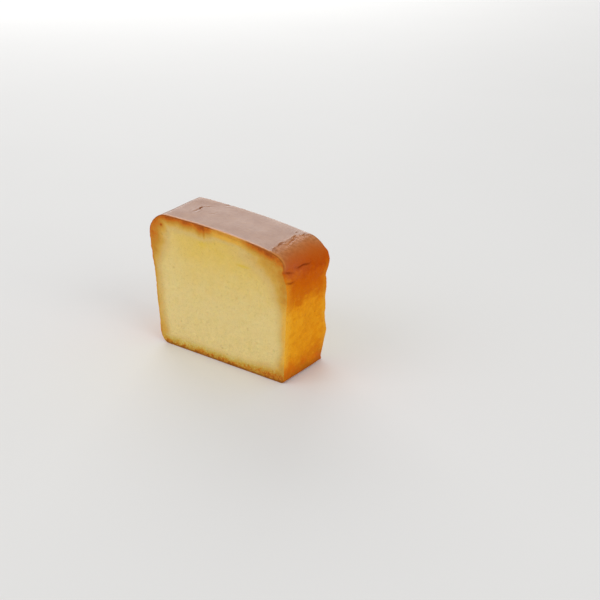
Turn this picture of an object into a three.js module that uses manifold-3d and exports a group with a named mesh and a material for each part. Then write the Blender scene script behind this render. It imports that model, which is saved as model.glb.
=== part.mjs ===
// One slice of a small loaf cake soaked in brandy syrup, cut straight across the loaf.
// Millimetres, +Z up. X runs across the loaf and Y along it, the front cut faces -Y, and the
// origin is at the middle of the base. The slice is one solid: a fine crumb between two knife
// cuts, with the browned wall, base and top skin of the loaf round its edge. The tin gave it
// leaning walls, and the top sinks towards the right shoulder, where the skin has creased.
import * as THREE from "three";
import { ImprovedNoise } from "three/addons/math/ImprovedNoise.js";
import { mergeVertices, toCreasedNormals } from "three/addons/utils/BufferGeometryUtils.js";
import Module from "manifold-3d";

// Driving dimensions of the loaf's section and of the cut
const THICKNESS = 23.4;
const BASE_WIDTH = 56.8;
const HEIGHT = 50.2;

// What changes along the loaf, as [at the front cut, at the back cut]. The base's right end
// reaches past half the base's width by the foot reach.
const RIGHT_FOOT_REACH = [0.9, 0.2];
const WALL_LEAN_DEG = { left: [3.4, 3.4], right: [2.8, 2.7] };
const CORNER_RADII = {
  baseLeft: [4.2, 3],
  baseRight: [1.8, 1.4],
  topRight: [5.6, 7],
  topLeft: [7.6, 4.3],
};
const TOP_FALL_POWER = [2.8, 2.0];

// The top is highest over the left wall and falls to the right. Past the shoulder's start it
// falls more steeply, by so much for each millimetre across.
const TOP_FALL = 4.2;
const FALL_STARTS_AT = 22;
const SHOULDER_START = 21.5;
const SHOULDER_SLOPE = 0.06;

// Relief of the skin: each shoulder stands proud of the tin's wall, or is drawn in where that is
// negative, the top is wavy, and the walls are pebbled. All of it fades out towards the base.
const SHOULDERS = {
  left: { proud: [0.7, 0.6], height: [40, 40], spread: [9, 9] },
  right: { proud: [-2.0, 0.7], height: [41, 41], spread: [4.5, 4.5] },
};
const TOP_WAVE = { length: 11, depth: 0.3 };
const WALL_PEBBLE = { length: 4.2, depth: 0.32 };
const BASE_FADE = { from: 0.4, to: 5 };

// Bulges and dents of the right wall, which don't fade out: the belly, the waist under the
// shoulder, the foot that tucks in at the back, and a slow swell at the front. Each is at a
// height and a y, with its half sizes there and how far it stands out.
const RIGHT_WALL_SWELLS = [
  { z: 12, y: 10.5, halfZ: 3.6, halfY: 4.5, proud: 0.9 },
  { z: 33.6, y: 9.5, halfZ: 2, halfY: 5, proud: -0.55 },
  { z: 1.5, y: 12, halfZ: 3.2, halfY: 3.2, proud: -0.9 },
  { z: 24, y: -3, halfZ: 6, halfY: 5, proud: 0.25 },
];

// Relief of the two cuts: slow waves of the knife, and finer ones where the crumb has torn
const KNIFE_WAVE = { length: 17, depth: 0.35 };
const CRUMB_TEAR = { length: 4.5, depth: 0.22 };
const CUT_NOISE_AT = { front: 3.3, back: 57.7 };

// Creases of the skin: each is a smooth line through a few places, given as [across, y] in mm
// on the top, where across is x, and as [height, y] on the right wall. A crease is a V, as wide
// and as deep in its middle as stated, that tapers off towards both ends.
const CREASES = [
  { side: "top", line: [[-18.7, -0.4], [-19.1, 1.8], [-17.4, 5.2]], width: 0.8, depth: 0.7 },
  { side: "top", line: [[-12.4, 12.6], [-12.9, 10.6], [-14.0, 9.0]], width: 1.0, depth: 0.7 },
  { side: "top", line: [[22.4, -6.4], [21.9, -3.6], [21.2, -1.2]], width: 0.8, depth: 0.4 },
  { side: "top", line: [[24.4, -3.2], [22.9, 2.0], [20.7, 6.4]], width: 0.8, depth: 0.4 },
  { side: "right", line: [[42.0, -7.4], [40.9, -3.6], [41.3, 2.4]], width: 1.0, depth: 0.8 },
  { side: "right", line: [[40.9, -11.0], [40.2, -9.0], [39.5, -6.4]], width: 0.9, depth: 0.7 },
  { side: "right", line: [[37.4, -11.0], [36.7, -9.2], [36.9, -6.4]], width: 0.8, depth: 0.5 },
];
const CREASE_STATIONS = 9;
const CREASE_LIFT = 1.2;
const CREASE_BLUNT_END = 0.12;

// Air bubbles that the knife has opened, at random on a loose grid over each cut. A bubble is
// up to so much longer than it is wide, and up to so much lower.
const BUBBLES = { spacing: 7.6, jitter: 0.9, smallest: 0.4, largest: 0.9, rim: 3.2, seed: 41 };
const BUBBLE_STRETCH = 0.7;
const BUBBLE_SQUAT = 0.3;

// Spacing of the grid, the width under which a sliver left by a cut is closed up, and the bend
// from which an edge is shaded as a sharp one
const GRID_STEP = 1.85;
const SLIVER = 0.02;
const SHARP_BEND_DEG = 35;
const { smoothstep, lerp, clamp, degToRad } = THREE.MathUtils;

// Corners of the section before they are rounded, anticlockwise from the base's left end.
// Here and below, share runs along the loaf, from 0 at the front cut to 1 at the back one.
function sectionCorners(share) {
  const left = -BASE_WIDTH / 2;
  const right = BASE_WIDTH / 2 + lerp(...RIGHT_FOOT_REACH, share);
  const out = (side) => HEIGHT * Math.tan(degToRad(lerp(...WALL_LEAN_DEG[side], share)));
  const corner = (x, z, radii) => ({ at: new THREE.Vector2(x, z), radius: lerp(...radii, share) });
  return [
    corner(left, 0, CORNER_RADII.baseLeft),
    corner(right, 0, CORNER_RADII.baseRight),
    corner(right + out("right"), HEIGHT, CORNER_RADII.topRight),
    corner(left - out("left"), HEIGHT, CORNER_RADII.topLeft),
  ];
}

// Angle of the outward normal of the edge from one corner to the next
function normalAngle(from, to) {
  return Math.atan2(from.at.x - to.at.x, to.at.y - from.at.y);
}

// The arc that rounds a corner: its centre, and the angles at which it starts, halves and ends
function cornerArc(before, corner, after) {
  const start = normalAngle(before, corner);
  let end = normalAngle(corner, after);
  if (end < start) end += 2 * Math.PI;
  const middle = (start + end) / 2;
  const reach = corner.radius / Math.cos((end - start) / 2);
  const inward = new THREE.Vector2(-Math.cos(middle), -Math.sin(middle));
  const centre = corner.at.clone().addScaledVector(inward, reach);
  return { centre, radius: corner.radius, start, middle, end };
}

// The loaf's top falls to the right: height is taken from the upper part of the section
function sink(point, share) {
  const across = Math.max(0, point.x / BASE_WIDTH + 0.5);
  const shoulder = SHOULDER_SLOPE * Math.max(0, point.x - SHOULDER_START);
  const fall = TOP_FALL * across ** lerp(...TOP_FALL_POWER, share) + shoulder;
  const upperPart = smoothstep(point.y, FALL_STARTS_AT, HEIGHT);
  return new THREE.Vector2(point.x, point.y - fall * upperPart);
}

// Counts of the grid's cells across the loaf, up it and along it
const across = Math.round(BASE_WIDTH / GRID_STEP);
const up = Math.round(HEIGHT / GRID_STEP);
const along = Math.round(THICKNESS / GRID_STEP);

// The four sides of the rounded section as evenly spaced points, each side from the middle of
// one corner to that of the next: base and top from left to right, left and right upwards
function sectionSides(share) {
  const corners = sectionCorners(share);
  const arcs = corners.map((corner, n) => {
    return cornerArc(corners[(n + 3) % 4], corner, corners[(n + 1) % 4]);
  });
  const [base, right, topDown, leftDown] = arcs.map((arc, n) => {
    const next = arcs[(n + 1) % 4];
    const path = new THREE.Path();
    path.absarc(arc.centre.x, arc.centre.y, arc.radius, arc.middle, arc.end);
    path.absarc(next.centre.x, next.centre.y, next.radius, next.start, next.middle);
    const points = path.getSpacedPoints(n % 2 === 0 ? across : up);
    return points.map((point) => sink(point, share));
  });
  return { base, right, top: topDown.reverse(), left: leftDown.reverse() };
}

// One section for each row of nodes along the loaf
const sections = Array.from({ length: along + 1 }, (_, k) => sectionSides(k / along));

// A point of a section's grid, blended from its four sides
function sectionPoint(i, j, k) {
  const { base, right, top, left } = sections[k];
  const u = i / across;
  const v = j / up;
  const blend = (axis) => {
    const sides = lerp(base[i][axis], top[i][axis], v) + lerp(left[j][axis], right[j][axis], u);
    const below = lerp(base[0][axis], base[across][axis], u);
    const above = lerp(top[0][axis], top[across][axis], u);
    return sides - lerp(below, above, v);
  };
  return new THREE.Vector2(blend("x"), blend("y"));
}

// Outward direction of the skin at a node on a section's edge, from its two neighbours
function skinNormal({ base, right, top, left }, i, j) {
  const neighbour = (step) => {
    if (j === 0 && i + step >= 0 && i + step <= across) return base[i + step];
    if (j === up && i - step >= 0 && i - step <= across) return top[i - step];
    if (i === across && j + step >= 0 && j + step <= up) return right[j + step];
    return left[j - step];
  };
  const run = neighbour(1).clone().sub(neighbour(-1)).normalize();
  return new THREE.Vector2(run.y, -run.x);
}

const noise = new ImprovedNoise();
const wave = ({ length, depth }, x, y, z) => depth * noise.noise(x / length, y / length, z / length);

// How far the right wall stands out at a point for its bulges and dents
function rightWallSwell(y, z) {
  return RIGHT_WALL_SWELLS.reduce((sum, swell) => {
    const off = ((z - swell.z) / swell.halfZ) ** 2 + ((y - swell.y) / swell.halfY) ** 2;
    return sum + swell.proud * Math.exp(-off);
  }, 0);
}

// How far the skin stands out at a point, along its outward direction
function skinRelief(x, y, z, normal) {
  const facingUp = smoothstep(normal.y, 0.3, 0.9);
  const awayFromBase = smoothstep(z, BASE_FADE.from, BASE_FADE.to);
  const share = y / THICKNESS + 0.5;
  const { proud, height, spread } = SHOULDERS[x < 0 ? "left" : "right"];
  const offMiddle = (z - lerp(...height, share)) / lerp(...spread, share);
  const shoulder = lerp(...proud, share) * Math.exp(-(offMiddle ** 2));
  const walls = shoulder + wave(WALL_PEBBLE, x, y, z);
  const onRightWall = smoothstep(normal.x, 0.3, 0.8);
  const fading = awayFromBase * lerp(walls, wave(TOP_WAVE, x, y, z), facingUp);
  return fading + onRightWall * rightWallSwell(y, z);
}

// How far a cut stands out along Y; each cut has its own part of the noise
function cutRelief(x, z, cut) {
  const own = CUT_NOISE_AT[cut];
  return wave(KNIFE_WAVE, x, own, z) + wave(CRUMB_TEAR, x, own, z);
}

// A node of the slice: i across, j up, k along the loaf
function slicePoint(i, j, k) {
  const flat = sectionPoint(i, j, k);
  const front = -THICKNESS / 2 - cutRelief(flat.x, flat.y, "front");
  const back = THICKNESS / 2 + cutRelief(flat.x, flat.y, "back");
  const y = lerp(front, back, k / along);
  if (i > 0 && i < across && j > 0 && j < up) return new THREE.Vector3(flat.x, y, flat.y);
  const normal = skinNormal(sections[k], i, j);
  const proud = skinRelief(flat.x, y, flat.y, normal);
  return new THREE.Vector3(flat.x + normal.x * proud, y, flat.y + normal.y * proud);
}

// The skin and both cuts as one closed mesh on the surface of a grid of cells
function sliceGeometry() {
  const positions = [];
  const triangles = [];
  const known = new Map();
  const node = (i, j, k) => {
    const key = `${i},${j},${k}`;
    if (!known.has(key)) {
      known.set(key, known.size);
      positions.push(...slicePoint(i, j, k));
    }
    return known.get(key);
  };
  // Each side takes two counts and a rule for its nodes, in the order that faces outwards
  const cover = (count, rows, at) => {
    for (let a = 0; a < count; a++)
      for (let b = 0; b < rows; b++) {
        const [p, q, r, s] = [at(a, b), at(a + 1, b), at(a + 1, b + 1), at(a, b + 1)];
        triangles.push(p, q, r, p, r, s);
      }
  };
  cover(across, up, (a, b) => node(a, b, 0));
  cover(up, across, (a, b) => node(b, a, along));
  cover(along, up, (a, b) => node(across, b, a));
  cover(up, along, (a, b) => node(0, a, b));
  cover(across, along, (a, b) => node(a, up, b));
  cover(along, across, (a, b) => node(b, 0, a));
  const geometry = new THREE.BufferGeometry();
  geometry.setAttribute("position", new THREE.Float32BufferAttribute(positions, 3));
  geometry.setIndex(triangles);
  return geometry;
}

// The place on the top with the given x and y, or on the right wall with the given height and
// y, and the outward direction there
function onSkin(side, position, y) {
  const sides = sectionSides(clamp(y / THICKNESS + 0.5, 0, 1));
  const points = sides[side];
  const axis = side === "top" ? "x" : "y";
  const n = Math.max(1, points.findIndex((point) => point[axis] >= position));
  const past = (position - points[n - 1][axis]) / (points[n][axis] - points[n - 1][axis]);
  const at = points[n - 1].clone().lerp(points[n], past);
  const [before, after] = [n - 1, n].map((m) => {
    return side === "top" ? skinNormal(sides, m, up) : skinNormal(sides, across, m);
  });
  const normal = before.lerp(after, past).normalize();
  const outward = new THREE.Vector3(normal.x, 0, normal.y);
  const place = new THREE.Vector3(at.x, y, at.y);
  return { place: place.addScaledVector(outward, skinRelief(at.x, y, at.y, normal)), outward };
}

// The wedge that opens a crease: a row of triangles across its line, each with two corners
// above the skin and one in the crumb, that shrink towards both ends
function creaseGeometry({ side, line, width, depth }) {
  const places = line.map(([position, y]) => onSkin(side, position, y).place);
  const curve = new THREE.CatmullRomCurve3(places);
  const positions = [];
  for (let n = 0; n <= CREASE_STATIONS; n++) {
    const share = n / CREASE_STATIONS;
    const onCurve = curve.getPointAt(share);
    const position = side === "top" ? onCurve.x : onCurve.z;
    const { place, outward } = onSkin(side, position, onCurve.y);
    const aside = outward.clone().cross(curve.getTangentAt(share)).normalize();
    const open = Math.max(CREASE_BLUNT_END, Math.sin(Math.PI * share));
    const lip = place.clone().addScaledVector(outward, CREASE_LIFT);
    const halfWidth = (width / 2) * open * (1 + CREASE_LIFT / depth);
    positions.push(
      ...lip.clone().addScaledVector(aside, -halfWidth),
      ...lip.clone().addScaledVector(aside, halfWidth),
      ...place.clone().addScaledVector(outward, -depth * open),
    );
  }
  const last = 3 * CREASE_STATIONS;
  const triangles = [0, 1, 2, last, last + 2, last + 1];
  for (let n = 0; n < last; n += 3)
    for (let edge = 0; edge < 3; edge++) {
      const [a, b] = [n + edge, n + ((edge + 1) % 3)];
      triangles.push(a, a + 3, b, b, a + 3, b + 3);
    }
  const geometry = new THREE.BufferGeometry();
  geometry.setAttribute("position", new THREE.Float32BufferAttribute(positions, 3));
  geometry.setIndex(triangles);
  return geometry;
}

// Opened air bubbles over one cut, as uneven little balls that the cut's plane passes through
function bubbleGeometries(cut) {
  const random = () => THREE.MathUtils.seededRandom();
  const plane = (cut === "front" ? -1 : 1) * (THICKNESS / 2);
  const lowest = HEIGHT - TOP_FALL;
  const columns = Math.floor((BASE_WIDTH - 2 * BUBBLES.rim) / BUBBLES.spacing);
  const rows = Math.floor((lowest - 2 * BUBBLES.rim) / BUBBLES.spacing);
  const bubbles = [];
  for (let column = 0; column < columns; column++)
    for (let row = 0; row < rows; row++) {
      const radius = lerp(BUBBLES.smallest, BUBBLES.largest, random() ** 2);
      const stray = () => BUBBLES.jitter * (random() - 0.5) * BUBBLES.spacing;
      const x = (column - (columns - 1) / 2) * BUBBLES.spacing + stray();
      const z = lowest / 2 + (row - (rows - 1) / 2) * BUBBLES.spacing + stray();
      const bubble = new THREE.IcosahedronGeometry(radius, 0);
      bubble.scale(1 + BUBBLE_STRETCH * random(), 1, 1 - BUBBLE_SQUAT * random());
      bubble.rotateY(Math.PI * random());
      bubble.translate(x, plane, z);
      bubbles.push(bubble);
    }
  return bubbles;
}

const wasm = await Module();
wasm.setup();

// A closed three.js geometry as a solid that can be cut, and back again
function toSolid(geometry) {
  const bare = geometry.clone();
  bare.deleteAttribute("normal");
  bare.deleteAttribute("uv");
  const merged = mergeVertices(bare, 1e-4);
  const vertProperties = new Float32Array(merged.attributes.position.array);
  const triVerts = new Uint32Array(merged.index.array);
  return new wasm.Manifold(new wasm.Mesh({ numProp: 3, vertProperties, triVerts }));
}

function toGeometry(solid) {
  const { vertProperties, triVerts } = solid.getMesh();
  const geometry = new THREE.BufferGeometry();
  geometry.setAttribute("position", new THREE.BufferAttribute(vertProperties, 3));
  geometry.setIndex(new THREE.BufferAttribute(triVerts, 1));
  return geometry;
}

// The slice with its creases and opened bubbles cut in, less any loose scrap that a cut leaves,
// and with its box centred over the origin
function cutSlice() {
  THREE.MathUtils.seededRandom(BUBBLES.seed);
  const cutters = [
    ...CREASES.map(creaseGeometry),
    ...bubbleGeometries("front"),
    ...bubbleGeometries("back"),
  ];
  const solid = wasm.Manifold.difference([toSolid(sliceGeometry()), ...cutters.map(toSolid)]);
  const pieces = solid.simplify(SLIVER).decompose();
  const geometry = toGeometry(pieces.sort((a, b) => b.volume() - a.volume())[0]);
  geometry.computeBoundingBox();
  const middle = geometry.boundingBox.getCenter(new THREE.Vector3());
  geometry.translate(-middle.x, -middle.y, 0);
  return toCreasedNormals(geometry, degToRad(SHARP_BEND_DEG));
}

const crumb = new THREE.MeshStandardMaterial({ color: 0xd7be7c, roughness: 0.85, metalness: 0 });
const slice = new THREE.Mesh(cutSlice(), crumb);
slice.name = "cake_slice";

const cake = new THREE.Group();
cake.add(slice);
export default cake;
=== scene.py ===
import math

import bpy
import numpy as np
from mathutils import Matrix, Vector
from mathutils.kdtree import KDTree


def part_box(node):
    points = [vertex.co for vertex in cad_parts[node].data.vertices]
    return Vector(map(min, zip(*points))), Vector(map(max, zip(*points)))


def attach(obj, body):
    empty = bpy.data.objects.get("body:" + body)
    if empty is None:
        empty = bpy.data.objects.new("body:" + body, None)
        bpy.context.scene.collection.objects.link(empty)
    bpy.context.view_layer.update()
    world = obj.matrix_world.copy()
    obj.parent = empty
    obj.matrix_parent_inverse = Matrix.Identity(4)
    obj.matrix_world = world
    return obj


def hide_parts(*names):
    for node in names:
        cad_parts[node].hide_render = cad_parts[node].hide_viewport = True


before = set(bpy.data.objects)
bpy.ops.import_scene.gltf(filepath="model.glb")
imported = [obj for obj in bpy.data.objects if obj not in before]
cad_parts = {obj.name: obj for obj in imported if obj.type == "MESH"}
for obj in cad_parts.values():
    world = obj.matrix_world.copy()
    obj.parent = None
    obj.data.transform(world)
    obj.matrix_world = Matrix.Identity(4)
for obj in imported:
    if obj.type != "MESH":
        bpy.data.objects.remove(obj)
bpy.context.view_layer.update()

# The slice's form
# One slice of a small loaf cake, stood on its base. It was baked in a tin with leaning walls,
# its top rose, sank again towards the right shoulder, and was then cut straight across.
MM = 0.001
box_low, box_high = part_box("cake_slice")
width = box_high[0] - box_low[0]
height = box_high[2] - box_low[2]
knife_wave = 0.3 * MM
thickness = box_high[1] - box_low[1] - 2 * knife_wave
base_width = 0.9028 * width

# Each pair is a size at the front cut and at the back cut
right_foot_reach = (0.9 * MM, 0.2 * MM)
wall_lean_degrees = {"left": (3.4, 3.4), "right": (2.8, 2.7)}
corner_radii = {
    "base_left": (4.2 * MM, 3.0 * MM),
    "base_right": (1.8 * MM, 1.4 * MM),
    "top_right": (5.6 * MM, 7.0 * MM),
    "top_left": (7.6 * MM, 4.3 * MM),
}
fall_power = (2.8, 2.0)
top_fall = 4.2 * MM
fall_starts_at = 22 * MM

# Sizes at the left shoulder and at the right one. The right one is drawn in at the front.
shoulder_proud = ((0.7 * MM, 0.6 * MM), (-2.0 * MM, 0.7 * MM))
shoulder_height = np.array([40.0, 41.0]) * MM
shoulder_spread = np.array([9.0, 4.5]) * MM
base_fade = (0.4 * MM, 5 * MM)

# How far the skin leans one way where it starts to count as facing it, and where it fully does
leans_up_or_down = (0.3, 0.9)
leans_right = (0.3, 0.8)

# The ragged fold where the top breaks down to the right shoulder, in millimetres
fold_y = (-11.7, -9.9, -7.0, -3.4, -1.3, 2.3, 5.9, 8.7, 11.7)
fold_x = (23.8, 23.3, 22.1, 21.5, 21.6, 21.3, 20.6, 21.8, 23.0)
fold_slope = 0.06

# The grid: cells across the loaf and up it, and the rows along it, which crowd at both cuts
# to round the edge over
cells_across, cells_up, cells_along = 200, 158, 40
points_per_arc = 24
edge_rounding = 0.3 * MM
edge_rows = np.array([0, 0.04, 0.16, 0.38, 0.7]) * edge_rounding / 0.7


def blend(pair, share):
    return pair[0] + (pair[1] - pair[0]) * share


def smooth_step(value, low, high):
    share = np.clip((value - low) / (high - low), 0, 1)
    return share * share * (3 - 2 * share)


def section_corners(share):
    """The section's corners before they are rounded, with their radii, anticlockwise."""
    half = base_width / 2
    right = half + blend(right_foot_reach, share)
    out_left, out_right = (
        height * math.tan(math.radians(blend(wall_lean_degrees[side], share)))
        for side in ("left", "right")
    )
    places = [(-half, 0), (right, 0), (right + out_right, height), (-half - out_left, height)]
    names = ["base_left", "base_right", "top_right", "top_left"]
    return [(np.array(p), blend(corner_radii[n], share)) for p, n in zip(places, names)]


def corner_arc(before, corner, after):
    """The centre and radius of a rounded corner, and its first, middle and last angle."""
    place, radius = corner
    angles = []
    for a, b in ((before[0], place), (place, after[0])):
        angles.append(math.atan2(a[0] - b[0], b[1] - a[1]))
    start, end = angles
    if end < start:
        end += 2 * math.pi
    middle = (start + end) / 2
    reach = radius / math.cos((end - start) / 2)
    centre = place - reach * np.array([math.cos(middle), math.sin(middle)])
    return centre, radius, (start, middle, end)


def arc_points(arc, first, last):
    centre, radius, angles = arc
    turn = np.linspace(angles[first], angles[last], points_per_arc)
    return centre + radius * np.column_stack([np.cos(turn), np.sin(turn)])


def evenly(points, count):
    """Points at equal steps along a line of points."""
    steps = np.linalg.norm(np.diff(points, axis=0), axis=1)
    reached = np.concatenate([[0], np.cumsum(steps)])
    at = np.linspace(0, reached[-1], count + 1)
    return np.column_stack([np.interp(at, reached, points[:, n]) for n in (0, 1)])


def fold_at(share):
    """The fold's x for a share of the way from the front cut to the back one."""
    return np.interp((share - 0.5) * thickness / MM, fold_y, fold_x) * MM


def sink(points, share):
    """The top of the loaf falls to the right, and more steeply past the fold."""
    across = np.maximum(0, points[:, 0] / base_width + 0.5)
    past_fold = np.maximum(0, points[:, 0] - fold_at(share))
    fall = top_fall * across ** blend(fall_power, share) + fold_slope * past_fold
    upper_part = smooth_step(points[:, 1], fall_starts_at, height)
    return np.column_stack([points[:, 0], points[:, 1] - fall * upper_part])


def section_ring(share):
    """The rounded section as one closed ring of points, anticlockwise from the base's left."""
    corners = section_corners(share)
    arcs = [corner_arc(corners[n - 1], corners[n], corners[(n + 1) % 4]) for n in range(4)]
    sides = []
    for n, count in enumerate([cells_across, cells_up, cells_across, cells_up]):
        line = np.vstack([arc_points(arcs[n], 1, 2), arc_points(arcs[(n + 1) % 4], 0, 1)])
        sides.append(sink(evenly(line, count), share)[:-1])
    return np.vstack(sides)


def ring_normals(ring):
    run = np.roll(ring, -1, axis=0) - np.roll(ring, 1, axis=0)
    run /= np.linalg.norm(run, axis=1)[:, None]
    return np.column_stack([run[:, 1], -run[:, 0]])


inner_rows = np.linspace(edge_rounding, thickness - edge_rounding, cells_along + 1)[1:-1]
row_places = np.concatenate([edge_rows, inner_rows, thickness - edge_rows[::-1]])
row_shares = row_places / thickness
rings = np.array([section_ring(share) for share in row_shares])
normals = np.array([ring_normals(ring) for ring in rings])
facing_up = smooth_step(normals[:, :, 1], *leans_up_or_down)
facing_down = smooth_step(-normals[:, :, 1], *leans_up_or_down)
on_right_wall = smooth_step(normals[:, :, 0], *leans_right)

# The shoulders stand proud of the tin's walls
heights = rings[:, :, 1]
side = np.where(rings[:, :, 0] < 0, 0, 1)
proud_at = np.column_stack([blend(pair, row_shares) for pair in shoulder_proud])
proud = np.take_along_axis(proud_at, side, axis=1)
proud = proud * np.exp(-(((heights - shoulder_height[side]) / shoulder_spread[side]) ** 2))
proud *= smooth_step(heights, *base_fade) * (1 - facing_up)

# Bulges and dents of the right wall: the height and y of each in millimetres, its half sizes
# there, and how far it stands out
wall_swells = [
    ((12.0, 10.5), (3.6, 4.5), 0.9),
    ((33.6, 9.5), (2.0, 5.0), -0.55),
    ((1.5, 12.0), (3.2, 3.2), -0.9),
    ((24.0, -3.0), (6.0, 5.0), 0.25),
    ((39.0, -10.4), (1.1, 1.0), 0.25),
]
row_y = row_places[:, None] - thickness / 2


def wall_oval(place, half_sizes):
    """1 at the middle of an oval patch of the right wall, and 0 outside it."""
    off_z = (heights / MM - place[0]) / half_sizes[0]
    off_y = (row_y / MM - place[1]) / half_sizes[1]
    return np.exp(-(off_z**2 + off_y**2)) * on_right_wall


for place, half_sizes, bulge in wall_swells:
    proud += bulge * MM * wall_oval(place, half_sizes)

# The edge of each cut is rounded over, but not at the base
from_cut = np.minimum(row_places, thickness - row_places)
into_edge = np.maximum(0, edge_rounding - from_cut)
inset = edge_rounding - np.sqrt(edge_rounding**2 - into_edge**2)
rings += normals * (proud - inset[:, None] * (1 - facing_down))[:, :, None]

# Creases of the skin, each a smooth line through a few places. On the top a place is its x and
# y, and on the right wall its height and y. Each has its width, its depth, and the height of
# the lips beside it. The last three figures are in millimetres, as the places are.
creases = [
    ("top", [(-18.3, -0.2), (-18.6, 1.2), (-19.1, 2.5), (-18.5, 3.8)], 0.28, 0.44, 0.08),
    ("top", [(-18.4, 0.4), (-18.3, -1.2), (-17.7, -2.9)], 0.50, 0.16, 0.05),
    ("top", [(-18.8, 3.2), (-18.0, 4.3), (-17.4, 5.6), (-15.8, 6.6)], 0.30, 0.16, 0.04),
    ("top", [(-12.2, 12.4), (-12.9, 10.8), (-14.2, 9.6)], 0.60, 0.14, 0.04),
    ("top", [(-19.4, -3.0), (-18.6, -4.4), (-17.2, -5.0)], 0.28, 0.08, 0.03),
    ("top", [(-12.4, -1.2), (-11.2, 0.6), (-10.8, 2.4)], 0.28, 0.12, 0.03),
    ("top", [(19.2, 9.6), (20.0, 7.8), (21.2, 6.6)], 0.34, 0.14, 0.04),
    ("top", [(20.6, 7.0), (21.2, 4.4), (21.6, 1.8), (22.0, 0.2)], 0.32, 0.10, 0.02),
    ("top", [(20.7, 6.6), (22.1, 3.6), (23.0, 0.6), (24.3, -3.0)], 0.38, 0.20, 0.05),
    ("top", [(21.4, -1.4), (21.9, -3.6), (22.6, -6.0)], 0.38, 0.15, 0.04),
    ("top", [(22.6, -7.2), (23.2, -9.0), (24.4, -10.8)], 0.36, 0.08, 0.04),
    ("top", [(22.0, 11.0), (22.4, 9.0), (23.6, 7.2)], 0.34, 0.12, 0.03),
    ("top", [(26.4, -2.8), (27.2, -4.4), (27.3, -6.4)], 0.60, 0.08, 0.0),
    ("right", [(41.7, -7.0), (40.7, -4.4), (41.2, -1.8), (40.7, 0.6), (40.9, 2.4)], 0.32, 0.46, 0.12),
    ("right", [(41.0, -12.0), (40.3, -9.2), (39.5, -6.6)], 0.34, 0.36, 0.16),
    ("right", [(37.6, -12.4), (36.8, -9.6), (36.9, -6.6)], 0.36, 0.36, 0.16),
]
samples_per_crease = 60
furthest_from_crease = 12 * MM
full_shade_depth = 0.5

# Half the width of the groove and of each lip, and how far out the lips lie, in widths
groove_half, lips_at = 0.9, 2.0


def through(places, count):
    """A smooth line through a few places, as many points."""
    ends = [2 * places[0] - places[1], *places, 2 * places[-1] - places[-2]]
    line = []
    for at in np.linspace(0, len(places) - 1 - 1e-9, count):
        n, t = int(at), at % 1
        a, b, c, d = ends[n : n + 4]
        pull = (c - a) * t + (2 * a - 5 * b + 4 * c - d) * t**2 + (3 * b - a - 3 * c + d) * t**3
        line.append(b + pull / 2)
    return np.array(line)


def on_skin(which, place):
    """The point of the skin on the top with an x and y, or on the right wall with a height."""
    position, y = place[0] * MM, place[1] * MM
    row = np.argmin(np.abs(row_places - thickness / 2 - y))
    ring = rings[row]
    if which == "top":
        faces_that_way = facing_up[row] > 0
        off = np.abs(ring[:, 0] - position)
    else:
        faces_that_way = on_right_wall[row] > 0
        off = np.abs(ring[:, 1] - position)
    x, z = ring[np.argmin(np.where(faces_that_way, off, np.inf))]
    return np.array([x, y, z])


skin_y = np.broadcast_to(row_y, heights.shape)
skin = np.stack([rings[:, :, 0], skin_y, rings[:, :, 1]], axis=-1)
# The shade of each groove is kept as well, and the skin's material paints it in as painted shade
crease_shade = np.zeros(heights.shape)
crease_sink = np.zeros(heights.shape)
open_width = np.sin(np.pi * np.linspace(0.02, 0.98, samples_per_crease)) ** 1.2
for which, places, crease_width, crease_depth, crease_lip in creases:
    line = through([on_skin(which, place) for place in places], samples_per_crease)
    near = np.linalg.norm(skin - line.mean(axis=0), axis=-1) < furthest_from_crease
    gaps = np.linalg.norm(skin[near][:, None, :] - line[None, :, :], axis=-1)
    gap = gaps.min(axis=1) / (crease_width * MM)
    opened = open_width[gaps.argmin(axis=1)]
    groove = opened * np.exp(-((gap / groove_half) ** 2))
    lips = opened * np.exp(-(((gap - lips_at) / groove_half) ** 2))
    crease_sink[near] += crease_lip * MM * lips - crease_depth * MM * groove
    shade = groove * min(1, crease_depth / full_shade_depth)
    crease_shade[near] = np.maximum(crease_shade[near], shade)
skin[:, :, 0] += normals[:, :, 0] * crease_sink
skin[:, :, 2] += normals[:, :, 1] * crease_sink

# Both cuts are filled with a grid that is blended from the four sides of their ring
ring_size = 2 * (cells_across + cells_up)
across_index, up_index = np.arange(cells_across + 1), np.arange(cells_up + 1)
side_nodes = {
    "base": across_index,
    "right": cells_across + up_index,
    "top": 2 * cells_across + cells_up - across_index,
    "left": (ring_size - up_index) % ring_size,
}
inside_count = (cells_across - 1) * (cells_up - 1)


def cut_grid(row):
    """The places of one cut's grid, its edge included."""
    ring = skin[row]
    base, right, top, left = (ring[side_nodes[name]] for name in ("base", "right", "top", "left"))
    u = (across_index / cells_across)[:, None, None]
    v = (up_index / cells_up)[None, :, None]
    sides = base[:, None] * (1 - v) + top[:, None] * v + left[None] * (1 - u) + right[None] * u
    ends = (base[0] * (1 - u) + base[-1] * u) * (1 - v) + (top[0] * (1 - u) + top[-1] * u) * v
    return sides - ends


def cut_nodes(row, first_free):
    """The number of each node of a cut: its ring's own on the edge, and new ones inside."""
    nodes = np.empty((cells_across + 1, cells_up + 1), dtype=int)
    inside = first_free + np.arange(inside_count)
    nodes[1:-1, 1:-1] = inside.reshape(cells_across - 1, cells_up - 1)
    nodes[:, 0], nodes[:, -1] = side_nodes["base"], side_nodes["top"]
    nodes[0, :], nodes[-1, :] = side_nodes["left"], side_nodes["right"]
    edge = np.ones_like(nodes, dtype=bool)
    edge[1:-1, 1:-1] = False
    nodes[edge] += row * ring_size
    return nodes


last_row = len(row_places) - 1
skin_count = skin.shape[0] * ring_size
cuts = [cut_grid(row)[1:-1, 1:-1].reshape(-1, 3) for row in (0, last_row)]
points = np.vstack([skin.reshape(-1, 3), *cuts])


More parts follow.
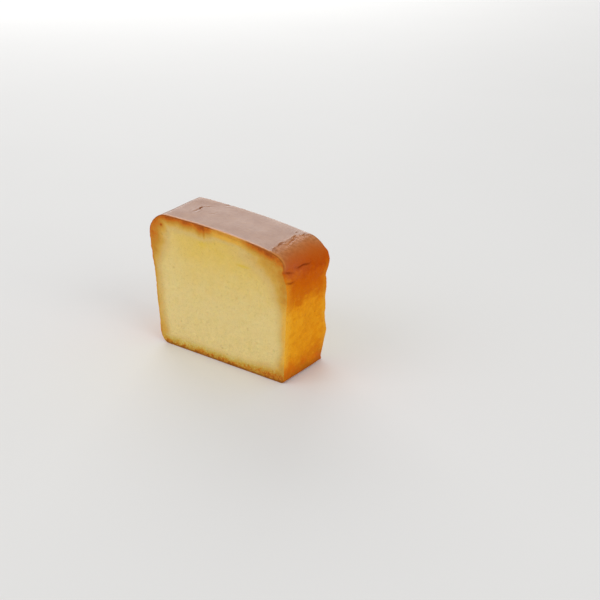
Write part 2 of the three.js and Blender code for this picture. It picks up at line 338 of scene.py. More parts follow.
def quads(nodes, outward):
    """The four corners of each face of a grid of nodes."""
    a, b, c, d = nodes[:-1, :-1], nodes[1:, :-1], nodes[1:, 1:], nodes[:-1, 1:]
    corners = (a, b, c, d) if outward else (a, d, c, b)
    return np.stack([corner.ravel() for corner in corners], axis=1)


skin_nodes = np.arange(skin_count).reshape(-1, ring_size).T
skin_nodes = np.vstack([skin_nodes, skin_nodes[:1]])
faces = np.vstack(
    [
        quads(skin_nodes, False),
        quads(cut_nodes(0, skin_count), True),
        quads(cut_nodes(last_row, skin_count + inside_count), False),
    ]
)

# The reach of the crust
# The heat of the tin browned the crumb inwards from each side, and the syrup soaked in after
# it. How far is worked out here for each point, in millimetres, and the materials colour it.
every_few_rows = range(0, last_row + 1, 8)
from_side = {}
for name, nodes in side_nodes.items():
    edge = np.vstack([skin[row][nodes] for row in every_few_rows])
    tree = KDTree(len(edge))
    for n, point in enumerate(edge):
        tree.insert((point[0], 0, point[2]), n)
    tree.balance()
    from_side[name] = np.array([tree.find((x, 0, z))[2] for x, _, z in points]) / MM
at_x, at_y, at_z = (points / MM).T


def browned(side, place, knots, strengths, reaches, plateau=1.5):
    """The browning in from one side, with its strength and reach at places along that side."""
    strength = np.interp(place, knots, strengths)
    reach = np.interp(place, knots, reaches)
    return strength * np.exp(-((from_side[side] / reach) ** plateau))


baked = np.maximum.reduce(
    [
        browned(
            "base",
            at_x,
            (-20, 6, 14, 22),
            (0.83, 0.86, 0.85, 0.92),
            (2.9, 2.9, 3.1, 4.2),
            2.0,
        ),
        browned(
            "top",
            at_x,
            (-11, -4, 0, 8, 13, 16, 20, 24, 27),
            (0.92, 0.94, 0.70, 0.66, 0.74, 0.84, 0.97, 1.0, 0.80),
            (3.0, 2.9, 2.1, 2.0, 2.6, 3.2, 3.6, 3.9, 4.3),
        ),
        browned(
            "left",
            at_z,
            (5, 12, 31, 36, 40, 47),
            (0.50, 0.33, 0.32, 0.62, 0.71, 0.83),
            (4.0, 3.4, 3.6, 5.4, 7.4, 5.8),
            2.5,
        ),
        browned("left", at_z, (4, 10, 22, 34), (0.66, 0.50, 0.48, 0.70), (1.8, 1.7, 1.6, 1.6)),
        browned(
            "right",
            at_z,
            (5, 12, 20, 25, 28, 31, 35, 38, 43),
            (0.50, 0.34, 0.30, 0.32, 0.48, 0.64, 0.61, 0.62, 0.70),
            (2.8, 2.0, 2.2, 2.5, 3.3, 3.9, 5.6, 8.4, 14.0),
        ),
        browned("right", at_z, (35, 38, 41), (0.0, 0.82, 0.92), (0.8, 0.8, 1.1)),
    ]
)

# Where the crust or the syrup reaches further in on a cut: its place, its half sizes and how
# much browner it is
deeper = [
    ("front", (-7.5, 47.0), (1.7, 2.3), 0.16),
    ("front", (-5.5, 47.0), (0.5, 2.1), 0.24),
    ("front", (-25.4, 46.4), (0.5, 0.5), 0.58),
    ("back", (5.0, 46.4), (2.4, 2.2), 0.26),
]


def patch(cut, place, half_sizes):
    """1 at the middle of an oval patch on one cut, and 0 outside it."""
    off = ((at_x - place[0]) / half_sizes[0]) ** 2 + ((at_z - place[1]) / half_sizes[1]) ** 2
    return np.exp(-off) * ((at_y < 0) == (cut == "front"))


for cut, place, half_sizes, browner in deeper:
    baked += browner * patch(cut, place, half_sizes)

# The outermost crumb is a brighter gold low on the right wall and under the middle of the top
beside_wall = np.exp(-((from_side["right"] / 1.1) ** 2))
beside_wall *= smooth_step(at_z, 5, 9) * (1 - smooth_step(at_z, 24, 33))
under_top = np.exp(-(((from_side["top"] - 1.0) / 0.9) ** 2)) * 0.95
under_top *= smooth_step(at_x, -4, 0) * (1 - smooth_step(at_x, 9, 15))
gilded = np.maximum(beside_wall, under_top)

# The crumb is yolkier towards the top, less so at the left, with one streak of plain yolk and
# a stain under the deepest crust
yolky = np.interp(at_z, (18, 22, 26, 30, 34, 38, 42, 45), (0, 0.07, 0.2, 0.34, 0.48, 0.72, 0.92, 1))
yolky *= 0.5 + 0.5 * smooth_step(from_side["left"], 7, 19)
yolky += 0.8 * patch("front", (12.7, 39.3), (3.0, 0.5))
yolky += 0.5 * patch("front", (-6.2, 44.3), (2.0, 2.2))

# Where the right wall has browned as it has further up or down: the height and y of each patch,
# its half sizes and how much further up, all in millimetres
wall_patches = [
    ((29.0, -5.0), (3.2, 1.7), 3.2),
    ((30.6, -0.8), (0.9, 2.4), 3.2),
    ((26.5, 4.0), (2.0, 2.2), -2.5),
    ((8.0, -9.8), (1.6, 1.6), -2.5),
    ((4.0, 4.5), (1.4, 3.0), 2.5),
]
further_up = sum(shift * wall_oval(place, half_sizes) for place, half_sizes, shift in wall_patches)

# The mesh stands in the middle of the box of the solid that it replaces, and carries the marks
# that its materials read
middle = (points.min(axis=0) + points.max(axis=0)) / 2
centre = (np.array(box_low) + np.array(box_high)) / 2
points[:, :2] += centre[:2] - middle[:2]

form = bpy.data.meshes.new("cake_slice_form")
form.from_pydata(points.tolist(), [], faces.tolist())
form.polygons.foreach_set("use_smooth", np.ones(len(faces), dtype=bool))
past_fold = skin[:, :, 0] - fold_at(row_shares)[:, None]


def skin_mark(values, on_cuts=0):
    """A value for each point of the skin, and the same one for all points of the cuts."""
    return np.concatenate([values.ravel(), np.full(2 * inside_count, on_cuts)])


marks = {
    "cut": skin_mark(np.zeros(skin_count), 1),
    "facing_up": skin_mark(facing_up),
    # The painted shade of the creases
    "crease": skin_mark(crease_shade),
    "from_cut": skin_mark(np.repeat(from_cut / MM, ring_size)),
    "past_fold": skin_mark(past_fold / MM),
    "further_up": skin_mark(further_up),
    "baked": baked,
    "gilded": gilded,
    "yolky": yolky,
}
for name, values in marks.items():
    attribute = form.attributes.new(name, "FLOAT", "POINT")
    attribute.data.foreach_set("value", values.astype(np.float32))
cut_face = np.arange(len(faces)) >= ring_size * last_row
form.attributes.new("cut_face", "BOOLEAN", "FACE").data.foreach_set("value", cut_face)
cake_slice = bpy.data.objects.new("cake_slice_crumb_and_skin", form)
bpy.context.collection.objects.link(cake_slice)


# The crumb
# A close, moist, egg-yellow crumb. It is palest in the middle and yolkier under the top, and
# it turns to tan, orange and brown where it has baked and soaked towards the crust.
class Wire:
    """The output of a node, which can be used in sums."""

    def __init__(self, plan, socket):
        self.plan, self.socket = plan, socket

    def math(self, operation, *others):
        inputs = dict(enumerate((self, *others)))
        return self.plan.add("ShaderNodeMath", {"operation": operation}, inputs)

    def __add__(self, other):
        return self.math("ADD", other)

    def __mul__(self, other):
        return self.math("MULTIPLY", other)

    def __sub__(self, other):
        return self.math("SUBTRACT", other)

    def __truediv__(self, other):
        return self.math("DIVIDE", other)

    def __pow__(self, other):
        return self.math("POWER", other)

    def __rsub__(self, other):
        return self.math("MULTIPLY_ADD", -1, other)

    def __rtruediv__(self, other):
        return self**-1 * other

    __radd__ = __add__
    __rmul__ = __mul__

    def ramp(self, low, high):
        """From 0 at low to 1 at high, smoothly."""
        settings = {"interpolation_type": "SMOOTHSTEP"}
        limits = {"From Min": low, "From Max": high}
        return self.plan.add("ShaderNodeMapRange", settings, {"Value": self, **limits})

    def out(self, name):
        return Wire(self.plan, self.socket.node.outputs[name])


class Plan:
    """A node tree. All its nodes are added by one method."""

    def __init__(self, tree):
        self.tree = tree
        tree.nodes.clear()

    def add(self, kind, settings=None, inputs=None, out=0):
        node = self.tree.nodes.new(kind)
        for name, value in (settings or {}).items():
            if name == "stops":
                self.set_stops(node.color_ramp.elements, value)
            else:
                setattr(node, name, value)
        for name, value in (inputs or {}).items():
            if isinstance(value, Wire):
                self.tree.links.new(value.socket, node.inputs[name])
            else:
                node.inputs[name].default_value = value
        return Wire(self, node.outputs[out]) if node.outputs else node

    def set_stops(self, elements, colours):
        """The stops of a colour ramp, each a place and a colour."""
        elements.remove(elements[-1])
        stops = [elements[0]] + [elements.new(place) for place, _ in colours[1:]]
        for stop, (place, colour) in zip(stops, colours):
            stop.position, stop.color = place, (*colour, 1)

    def mix(self, share, first, second, blend_type="MIX"):
        """A mix of two colours."""
        settings = {"data_type": "RGBA", "blend_type": blend_type}
        ends = [(*c, 1) if isinstance(c, tuple) else c for c in (first, second)]
        return self.add("ShaderNodeMix", settings, {0: share, 6: ends[0], 7: ends[1]}, out=2)

    def noise(self, place, scale, detail=2.0, roughness=0.5):
        settings = {"Vector": place, "Scale": scale, "Detail": detail, "Roughness": roughness}
        return self.add("ShaderNodeTexNoise", None, settings)

    def grey(self, value):
        return self.add("ShaderNodeCombineColor", None, {0: value, 1: value, 2: value})


def read_slice(plan):
    """The place on the slice in millimetres, and a reader of the marks on its mesh."""

    def mark(name):
        return plan.add("ShaderNodeAttribute", {"attribute_name": name}).out("Fac")

    place = plan.add("ShaderNodeTexCoord").out("Object")
    place = plan.add("ShaderNodeVectorMath", {"operation": "SCALE"}, {0: place, "Scale": 1 / MM})
    return place, mark


def new_material(name):
    material = bpy.data.materials.new(name)
    material.use_nodes = True
    return material, Plan(material.node_tree)


crumb_pale = (0.85, 0.665, 0.280)
crumb_yellow = (0.82, 0.570, 0.125)
crumb_yolk = (0.80, 0.560, 0.050)
rim_gold = (0.91, 0.500, 0.068)
toasted = [
    (0.20, (0.765, 0.535, 0.185)),
    (0.40, (0.720, 0.422, 0.080)),
    (0.60, (0.640, 0.300, 0.037)),
    (0.80, (0.645, 0.192, 0.013)),
    (0.92, (0.54, 0.128, 0.009)),
    (1.00, (0.44, 0.100, 0.008)),
]
base_dullness = (0.96, 1.14, 1.15)
base_brown = (0.29, 0.105, 0.010)


def toasted_crumb(plan, mark, place, level, mottle):
    """The crumb's own colour, pale to yolky, under the colour that baking gave it."""
    cloud = plan.noise(place, 0.25, 2.0)
    fleck = plan.noise(place, 1.7, 1.0)
    yolks = [(0.0, crumb_pale), (0.66, crumb_yellow), (1.0, crumb_yolk)]
    yolky = (mark("yolky") + (cloud - 0.5) * 0.5) / 1.5
    colour = plan.add("ShaderNodeValToRGB", {"stops": yolks}, {0: yolky})
    # The browning is uneven, and duller at the base, with darker spots and paler flecks there
    near_base = 1 - level.ramp(1.0, 5.5)
    uneven = (cloud - 0.5) * (0.7 + near_base * 0.5) + (mottle - 0.5) * (0.35 + near_base * 0.6)
    spots = (mottle.ramp(0.52, 0.62) * 0.18 - fleck.ramp(0.56, 0.68) * 0.28) * near_base
    browning = mark("baked") * (1 + uneven) + spots
    crust = plan.add("ShaderNodeValToRGB", {"stops": toasted}, {0: browning})
    crust = plan.mix(near_base, crust, base_dullness, "MULTIPLY")
    colour = plan.mix(browning.ramp(0.0, 0.2), colour, crust)
    colour = plan.mix(mark("gilded") * 0.75, colour, rim_gold)
    on_tin = 1 - (level - mottle * 1.6).ramp(-0.4, 0.5)
    return plan.mix(on_tin * 0.75, colour, base_brown)


def make_crumb(name, lighter):
    material, plan = new_material(name)
    place, mark = read_slice(plan)
    level = plan.add("ShaderNodeSeparateXYZ", None, {0: place}).out("Z")
    mottle = plan.noise(place, 0.9, 3.0, 0.6)
    grain = plan.noise(place, 3.2, 2.0, 0.6)
    colour = toasted_crumb(plan, mark, place, level, mottle)
    # Flecks of the crumb itself, coarser low down, and the shade inside its holes and pores
    coarse = 0.12 + 0.14 * (1 - level.ramp(5.0, 20.0))
    holes = plan.noise(place, 1.5, 3.0, 0.65).ramp(0.42, 0.31)
    fine_holes = plan.noise(place, 3.6, 2.0, 0.6).ramp(0.44, 0.33)
    shade = mark("pore") * 0.06 + holes * 0.07 + fine_holes * 0.05
    value = 1.035 + lighter + (mottle - 0.5) * coarse + (grain - 0.5) * coarse - shade
    colour = plan.mix(1.0, colour, plan.grey(value), "MULTIPLY")

    rise = plan.noise(place, 2.6, 4.0, 0.72) - holes * 0.9 - fine_holes * 0.5
    torn = {"Strength": 0.45, "Distance": 0.4 * MM, "Height": rise}
    bump = plan.add("ShaderNodeBump", None, torn)
    surface = plan.add(
        "ShaderNodeBsdfPrincipled",
        {"subsurface_method": "RANDOM_WALK"},
        {
            "Base Color": colour,
            "Roughness": 0.82,
            "Specular IOR Level": 0.12,
            "Subsurface Weight": 0.25,
            "Subsurface Radius": (1.0, 0.5, 0.2),
            "Subsurface Scale": MM,
            "Normal": bump,
        },
    )
    plan.add("ShaderNodeOutputMaterial", None, {"Surface": surface})
    return material


crumb = make_crumb("moist_crumb", 0.0)

# The browned outside
# The walls and base baked against the tin to a pebbled gold that darkens to a red-brown at the
# shoulders. The top is a thin brown skin, brushed with syrup, that dried to a satin gloss.
wall_top = 50.0
wall_colours = [
    (0.6, (0.42, 0.108, 0.006)),
    (6.0, (0.71, 0.218, 0.004)),
    (9.5, (0.79, 0.300, 0.008)),
    (22.0, (0.82, 0.332, 0.010)),
    (26.0, (0.79, 0.285, 0.007)),
    (30.0, (0.645, 0.160, 0.002)),
    (36.0, (0.60, 0.125, 0.002)),
    (39.5, (0.50, 0.084, 0.002)),
    (45.0, (0.50, 0.112, 0.012)),
]
wall_front_tint = (1.07, 1.12, 1.2)
wall_back_tint = (1.0, 0.91, 0.65)
no_tint = (1.0, 1.0, 1.0)
# The wall's painted shade in its hollows and painted highlight on its crests
wall_hollow_shade_amber = (0.71, 0.235, 0.006)
wall_crest_highlight_gold = (0.89, 0.395, 0.015)
wall_red = (0.68, 0.120, 0.006)
# Painted shade in the wall's pits
wall_pit_shade = (0.42, 0.120, 0.005)
# The painted highlight beside the cuts, gold low down and orange higher up
wall_edge_highlight_gold = (0.88, 0.460, 0.042)
wall_edge_highlight_orange = (0.77, 0.280, 0.015)
top_brown = (0.29, 0.096, 0.0115)
top_dark_brown = (0.245, 0.073, 0.008)
top_rim_orange = (0.60, 0.230, 0.050)
shoulder_tan = (0.53, 0.206, 0.070)
shoulder_dark_tan = (0.41, 0.148, 0.044)
top_edge_gold = (0.68, 0.320, 0.050)
top_edge_brown = (0.33, 0.083, 0.010)
# The painted shade in the creases
crease_shade_brown = (0.20, 0.026, 0.002)


class SkinReadings:
    """Where a point of the skin is, and the noises that vary the skin there."""

    def __init__(self, plan):
        place, self.mark = read_slice(plan)
        sides = plan.add("ShaderNodeSeparateXYZ", None, {0: place})
        self.level, self.along = sides.out("Z"), sides.out("Y")
        self.up, self.from_cut = self.mark("facing_up"), self.mark("from_cut")
        self.cloud = plan.noise(place, 0.22, 3.0)
        self.mottle = plan.noise(place, 0.75, 4.0, 0.62)
        self.grain = plan.noise(place, 2.6, 3.0, 0.65)
        stretched = {0: place, 1: (1.0, 0.85, 1.05)}
        along_loaf = plan.add("ShaderNodeVectorMath", {"operation": "MULTIPLY"}, stretched)
        self.crests = plan.noise(along_loaf, 0.52, 4.0, 0.64)
        self.past_fold = self.mark("past_fold") + (self.mottle - 0.5) * 1.6
        narrower_at_back = 1 + 4.0 * self.along.ramp(-2.0, 8.0)
        self.rim = self.from_cut * narrower_at_back + (self.mottle - 0.5) * 0.8
        self.over_fold = self.up * self.past_fold.ramp(-0.25, 0.45)
        self.glazed = self.up - self.over_fold
        # How much of the creases' painted shade there is, varied a little; it also thins the glaze
        # there
        self.creased = self.mark("crease") * (0.7 + self.mottle * 0.4)


def baked_walls(plan, here):
    """The walls brown with height, redder towards the back, and a painted highlight gilds them beside
    the cuts.
    """
    level, along, cloud, mottle = here.level, here.along, here.cloud, here.mottle
    ragged = 0.25 + 0.75 * level.ramp(5.0, 22.0)
    baked = level + ((cloud - 0.5) * 8 + (mottle - 0.5) * 7) * ragged + here.mark("further_up")
    baked = baked - along * level.ramp(3.0, 8.0) * (1 - level.ramp(14.0, 26.0)) * 0.15
    baked = baked - (1 - along.ramp(-9.0, 2.0)) * level.ramp(28.0, 34.0) * 1.6
    stops = [(z / wall_top, colour) for z, colour in wall_colours]
    colour = plan.add("ShaderNodeValToRGB", {"stops": stops}, {0: baked / wall_top})
    tint = plan.mix(level.ramp(25.0, 30.0), wall_front_tint, no_tint)
    tint = plan.mix(along.ramp(-12.0, 9.0), tint, wall_back_tint)
    colour = plan.mix(level.ramp(5.0, 9.0) * (1 - here.up), colour, tint, "MULTIPLY")
    # A painted highlight of gold, orange higher up, along the walls beside the cuts, weaker at the
    # back
    edge_colour = plan.mix(level.ramp(24.0, 31.0), wall_edge_highlight_gold, wall_edge_highlight_orange)
    edge_highlight = 1 - (here.from_cut + (mottle - 0.5) * 2.6).ramp(-0.2, 3.8)
    edge_highlight = edge_highlight * (1 - level.ramp(35.0, 42.0)) * level.ramp(3.0, 8.0) * (1 - here.up)
    return plan.mix(edge_highlight * (0.85 - 0.35 * along.ramp(-4.0, 6.0)), colour, edge_colour)


def mottled_and_shaded_walls(plan, here, colour):
    """Painted shade in amber hollows and small pits, painted highlights of pale gold on the crests,
    and redder spots low down.
    """
    level, crests = here.level, here.crests
    low = (1 - level.ramp(27.0, 34.0)) * (1 - here.up)
    # Painted shade in the hollows of the pebbles, and a painted highlight on their crests
    colour = plan.mix(crests.ramp(0.55, 0.33) * low * 0.52, colour, wall_hollow_shade_amber)
    crest_highlight = crests.ramp(0.46, 0.70) * low * (0.1 + 0.48 * level.ramp(1.0, 7.0))
    colour = plan.mix(crest_highlight, colour, wall_crest_highlight_gold)
    reddish = here.cloud.ramp(0.46, 0.64) * (1 - level.ramp(4.0, 10.0)) * 0.45
    colour = plan.mix(reddish, colour, wall_red)
    # Painted shade in the small pits
    pit_shade = here.mottle.ramp(0.36, 0.29).math("MAXIMUM", crests.ramp(0.33, 0.27) * 0.6)
    return plan.mix(pit_shade * low * 0.5, colour, wall_pit_shade)


def browned_top(plan, here, colour):
    """Brown on the top and tan on the shoulder, with an orange rim. The very edge is brown
    beside the browned crumb and gold beside the pale."""
    up, mottle, past_fold, rim = here.up, here.mottle, here.past_fold, here.rim
    tan = plan.mix(mottle.ramp(0.36, 0.64), shoulder_dark_tan, shoulder_tan)
    colour = plan.mix(up * (1 - past_fold.ramp(2.5, 9.0)), colour, tan)
    brown = plan.mix((here.cloud + mottle - 1).ramp(-0.3, 0.3), top_dark_brown, top_brown)
    colour = plan.mix(up * past_fold.ramp(2.5, -2.0), colour, brown)
    colour = plan.mix(up * (1 - rim.ramp(0.5, 1.6)) * 0.9, colour, top_rim_orange)
    edge_colour = plan.mix(here.mark("baked").ramp(0.66, 0.84), top_edge_gold, top_edge_brown)
    return plan.mix(up * (1 - rim.ramp(0.1, 0.6)) * 0.9, colour, edge_colour)


def glaze(here):
    """How much glaze there is. It stops at the fold and is thinner at the left and beside the
    cuts. It is wetter in spots at the back of the fold, and it has run into the creases."""
    level, along, mottle, past_fold = here.level, here.along, here.mottle, here.past_fold
    wet_spots = mottle.ramp(0.58, 0.66) * past_fold.ramp(-7.0, -2.0) * along.ramp(1.0, 6.0)
    gloss = 0.34 + 0.24 * past_fold.ramp(-48.0, 2.0) + (here.cloud - 0.5) * 0.16
    gloss = gloss + (mottle - 0.5) * 0.12 + wet_spots * 0.45
    gloss = gloss + 0.05 * here.from_cut.ramp(3.0, 1.0)
    satin = level.ramp(35.5, 40.5) * (1 - level.ramp(42.0, 45.0) * 0.7)
    satin = satin * (1 - along.ramp(-6.0, 4.0)) * 0.30
    patchy = (0.10 + mottle.ramp(0.42, 0.60) * 0.30) * (0.4 + 0.6 * along.ramp(-9.0, -1.0))
    patchy = here.over_fold * (1 - past_fold.ramp(0.0, 7.0)) * patchy
    coat = (here.glazed * gloss).math("MAXIMUM", satin).math("MAXIMUM", patchy)
    return coat * here.rim.ramp(-0.3, 1.0) * (1 - here.creased * (0.8 - here.glazed * 0.3))


def make_browned_skin():
    material, plan = new_material("browned_skin")
    here = SkinReadings(plan)
    up, grain = here.up, here.grain
    colour = mottled_and_shaded_walls(plan, here, baked_walls(plan, here))
    colour = browned_top(plan, here, colour)
    # Painted shade darkens the creases, less where the glaze lies
    colour = plan.mix(here.creased * (0.9 - here.glazed * 0.35), colour, crease_shade_brown)
    colour = plan.mix(1 - up, colour, plan.grey(0.87 + grain * 0.32), "MULTIPLY")
    rise = (grain + here.crests * 1.2) * (1 - up * 0.95) + here.mottle * (1 - up * 0.8)
    pebbled = {"Strength": 0.6, "Distance": 0.4 * MM, "Height": rise}
    bump = plan.add("ShaderNodeBump", None, pebbled)
    surface = plan.add(
        "ShaderNodeBsdfPrincipled",
        None,
        {
            "Base Color": colour,
            "Roughness": 0.62 - up * 0.28 + (grain - 0.5) * 0.15,
            "Specular IOR Level": 0.02,
            "Coat Weight": glaze(here),
            "Coat Roughness": 0.07,
            "Coat IOR": 1.5,
            "Normal": bump,
        },
    )
    plan.add("ShaderNodeOutputMaterial", None, {"Surface": surface})
    return material


browned_skin = make_browned_skin()


# The torn and opened surface
# The knife leaves slow waves, tears the crumb between them, and opens its pores and a few
# larger bubbles. The walls took a pebbled face from the tin, and the top dried in swells.
def new_tree(name, sizes):
    """A tree that changes a mesh, with named inputs for its sizes."""
    tree = bpy.data.node_groups.new(name, "GeometryNodeTree")
    tree.interface.new_socket("Slice", in_out="INPUT", socket_type="NodeSocketGeometry")
    for size_name, size in sizes.items():
        kind = "NodeSocketInt" if isinstance(size, int) else "NodeSocketFloat"
        socket = tree.interface.new_socket(size_name, in_out="INPUT", socket_type=kind)
        socket.default_value = size
    tree.interface.new_socket("Slice", in_out="OUTPUT", socket_type="NodeSocketGeometry")
    plan = Plan(tree)
    place = plan.add("GeometryNodeInputPosition")
    place = plan.add("ShaderNodeVectorMath", {"operation": "SCALE"}, {0: place, "Scale": 1 / MM})
    return tree, plan, plan.add("NodeGroupInput"), place


def on_the_cuts(plan):
    """A choice of the faces of both cuts."""
    wanted = {"data_type": "BOOLEAN"}
    node = plan.add("GeometryNodeInputNamedAttribute", wanted, {"Name": "cut_face"})
    return node.out("Attribute")


def relief_tree(sizes):
    tree, plan, given, place = new_tree("cake_relief", sizes)

    def mark(name):
        return plan.add("GeometryNodeInputNamedAttribute", None, {"Name": name})

    def swell(length, depth, detail=0.0):
        return (plan.noise(place, 1 / given.out(length), detail) - 0.5) * 2 * given.out(depth)

    def openings(spacing, inner, outer):
        """Round holes at random places, as the knife meets them."""
        cells = {"Vector": place, "Scale": 1 / given.out(spacing), "Randomness": 1.0}
        return 1 - plan.add("ShaderNodeTexVoronoi", None, cells).ramp(inner, outer)

    level = plan.add("ShaderNodeSeparateXYZ", None, {0: place}).out("Z")
    cut, up = mark("cut"), mark("facing_up")
    pore = openings("Pore Spacing", 0.10, 0.42) * plan.noise(place, 0.45, 1.0).ramp(0.40, 0.62)
    bubble = openings("Bubble Spacing", 0.05, 0.19)
    torn = swell("Knife Wave", "Knife Depth") + swell("Tear", "Tear Depth", 2.0)
    torn = torn + swell("Grain", "Grain Depth", 2.0) - pore * given.out("Pore Depth")
    torn = torn - bubble * given.out("Bubble Depth")
    walls = swell("Pebble", "Pebble Depth", 2.0) + swell("Wall Grain", "Wall Grain Depth", 1.0)
    top = swell("Skin Swell", "Skin Depth")
    dried = (walls * (1 - up) + top * up) * level.ramp(0.4, 5.0)
    rise = (torn * cut + dried * (1 - cut)) * MM
    normal = plan.add("GeometryNodeInputNormal")
    shift = plan.add("ShaderNodeVectorMath", {"operation": "SCALE"}, {0: normal, "Scale": rise})
    shaped = {"Geometry": given.out("Slice"), "Offset": shift}
    shape = plan.add("GeometryNodeSetPosition", None, shaped)
    opened = {"Name": "pore", "Value": pore.math("MAXIMUM", bubble * 0.6) * cut, "Geometry": shape}
    shape = plan.add("GeometryNodeStoreNamedAttribute", {"domain": "POINT"}, opened)
    shape = plan.add("GeometryNodeRealizeInstances", None, {0: shape})
    shape = plan.add("GeometryNodeSetMaterial", None, {"Geometry": shape, "Material": browned_skin})
    bared = {"Geometry": shape, "Selection": on_the_cuts(plan), "Material": crumb}
    shape = plan.add("GeometryNodeSetMaterial", None, bared)
    plan.add("NodeGroupOutput", None, {0: shape})
    return tree


def made_plain(thing, name):
    """The object with its modifiers applied as one plain mesh, and the modifiers removed."""
    graph = bpy.context.evaluated_depsgraph_get()
    mesh = bpy.data.meshes.new_from_object(thing.evaluated_get(graph))
    mesh.name = name
    thing.modifiers.clear()
    thing.data = mesh


relief_sizes = {
    "Knife Wave": 17.0,
    "Knife Depth": 0.25,
    "Tear": 4.5,
    "Tear Depth": 0.20,
    "Grain": 1.1,
    "Grain Depth": 0.10,
    "Pore Spacing": 1.1,
    "Pore Depth": 0.14,
    "Bubble Spacing": 3.4,
    "Bubble Depth": 0.28,
    "Pebble": 2.6,
    "Pebble Depth": 0.34,
    "Wall Grain": 1.5,
    "Wall Grain Depth": 0.14,
    "Skin Swell": 10.0,
    "Skin Depth": 0.12,
}
relief = cake_slice.modifiers.new("relief", "NODES")
relief.node_group = relief_tree(relief_sizes)
made_plain(cake_slice, "cake_slice_crumb_and_skin")
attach(cake_slice, "root")
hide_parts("cake_slice")

# The loose crumbs
# Small grains of the same crumb that the knife tore free. They cling to both cuts, and more of
# them low down, where they have dropped.
loose_crumb = make_crumb("loose_crumb", 0.05)


def grains_tree(sizes):
    tree, plan, given, place = new_tree("clinging_grains", sizes)
    level = plan.add("ShaderNodeSeparateXYZ", None, {0: place}).out("Z")
    spread = {
        "Mesh": given.out("Slice"),
        "Selection": on_the_cuts(plan),
        "Density": given.out("Grains Per Square Metre") * (1 - level.ramp(0.0, 40.0) * 0.75),
        "Seed": given.out("Seed"),
    }
    spots = plan.add("GeometryNodeDistributePointsOnFaces", {"distribute_method": "RANDOM"}, spread)
    ball = plan.add("GeometryNodeMeshIcoSphere", None, {"Radius": 1.0, "Subdivisions": 1})
    vectors = {"data_type": "FLOAT_VECTOR"}
    turned = {"Max": (math.tau, math.tau, math.tau), "Seed": given.out("Seed") + 1}
    turn = plan.add("FunctionNodeRandomValue", vectors, turned)
    sized = {"Min": given.out("Smallest"), "Max": given.out("Largest"), "Seed": given.out("Seed") + 2}
    size = plan.add("FunctionNodeRandomValue", vectors, sized)
    placed = {"Points": spots, "Instance": ball, "Rotation": turn, "Scale": size}
    grains = plan.add("GeometryNodeInstanceOnPoints", None, placed)
    grains = plan.add("GeometryNodeRealizeInstances", None, {0: grains})
    finish = {"Geometry": grains, "Material": loose_crumb}
    plan.add("NodeGroupOutput", None, {0: plan.add("GeometryNodeSetMaterial", None, finish)})
    return tree


grain_sizes = {
    "Grains Per Square Metre": 4.0e5,
    "Smallest": 0.07 * MM,
    "Largest": 0.20 * MM,
    "Seed": 7,
}
clinging_grains = bpy.data.objects.new("clinging_grains", cake_slice.data.copy())
bpy.context.collection.objects.link(clinging_grains)
scatter = clinging_grains.modifiers.new("scatter", "NODES")
scatter.node_group = grains_tree(grain_sizes)
made_plain(clinging_grains, "clinging_grains")
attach(clinging_grains, "root")
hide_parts("cake_slice")

# The floor
# A pale matt table top, which is not part of the cake.
floor_half = 1.6
floor_mesh = bpy.data.meshes.new("table_top")
corners = [(-floor_half, -floor_half, 0), (floor_half, -floor_half, 0)]
corners += [(floor_half, floor_half, 0), (-floor_half, floor_half, 0)]
floor_mesh.from_pydata(corners, [], [(0, 1, 2, 3)])
floor = bpy.data.objects.new("table_top", floor_mesh)
bpy.context.collection.objects.link(floor)
floor_material, floor_plan = new_material("pale_table_top")
floor_place = floor_plan.add("ShaderNodeTexCoord").out("Object")
floor_tone = floor_plan.noise(floor_place, 9.0)
floor_colour = floor_plan.mix(floor_tone, (0.81, 0.805, 0.795), (0.83, 0.825, 0.815))
floor_surface = floor_plan.add(
    "ShaderNodeBsdfPrincipled",
    None,
    {"Base Color": floor_colour, "Roughness": 0.7, "Specular IOR Level": 0.1},
)
floor_plan.add("ShaderNodeOutputMaterial", None, {"Surface": floor_surface})
floor_mesh.materials.append(floor_material)

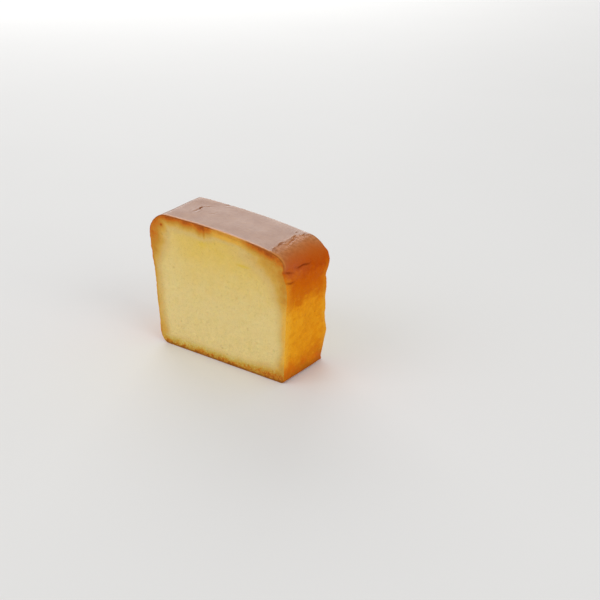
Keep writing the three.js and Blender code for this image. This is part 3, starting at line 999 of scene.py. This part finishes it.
# The light
# A wide soft panel stands low behind the cake on the left, so that the glazed top mirrors it as
# far as the fold. Softer light comes from the front left and the right, and from the room.
look_at = Vector((0, 0, 0.4 * height))


def soft_panel(name, direction, distance, size, radiance):
    """A rectangle of even light, which the camera doesn't see itself."""
    data = bpy.data.lights.new(name, "AREA")
    data.shape = "RECTANGLE"
    data.size, data.size_y = size
    data.energy = radiance * math.pi * size[0] * size[1]
    panel = bpy.data.objects.new(name, data)
    panel.location = look_at + Vector(direction).normalized() * distance
    panel.rotation_euler = Vector(direction).to_track_quat("Z", "Y").to_euler()
    panel.visible_camera = False
    bpy.context.collection.objects.link(panel)


soft_panel("back_panel", (-0.670, 0.648, 0.362), 1.5, (1.09, 0.86), 2.4)
soft_panel("front_panel", (-0.45, -0.85, 0.75), 1.6, (1.2, 1.0), 1.2)
soft_panel("right_panel", (0.95, -0.18, 0.55), 1.6, (0.9, 0.9), 2.25)

room = bpy.data.worlds.new("room")
bpy.context.scene.world = room
room.use_nodes = True
room_plan = Plan(room.node_tree)
room_light = room_plan.add("ShaderNodeBackground", None, {"Color": (1, 1, 1, 1), "Strength": 0.62})
room_plan.add("ShaderNodeOutputWorld", None, {"Surface": room_light})

# The camera
# It looks down at the front cut from the right, with the lens that the picture's lines give.
image_width = 600
focal_pixels = 1050
sensor_width = 36.0
camera_place = Vector((225.96, -263.15, 168.61)) * MM
looks_along = Vector((-0.5534, 0.7333, -0.3950))
camera_data = bpy.data.cameras.new("camera")
camera_data.sensor_width = sensor_width
camera_data.lens = sensor_width * focal_pixels / image_width
camera_data.clip_start, camera_data.clip_end = 0.02, 20
camera = bpy.data.objects.new("camera", camera_data)
right_way = looks_along.cross(Vector((0, 0, 1))).normalized()
up_way = right_way.cross(looks_along).normalized()
turn = Matrix((right_way, up_way, -looks_along.normalized())).transposed()
camera.matrix_world = Matrix.Translation(camera_place) @ turn.to_4x4()
bpy.context.collection.objects.link(camera)
bpy.context.scene.camera = camera
bpy.context.scene.view_settings.view_transform = "Standard"
bpy.context.scene.cycles.use_denoising = True
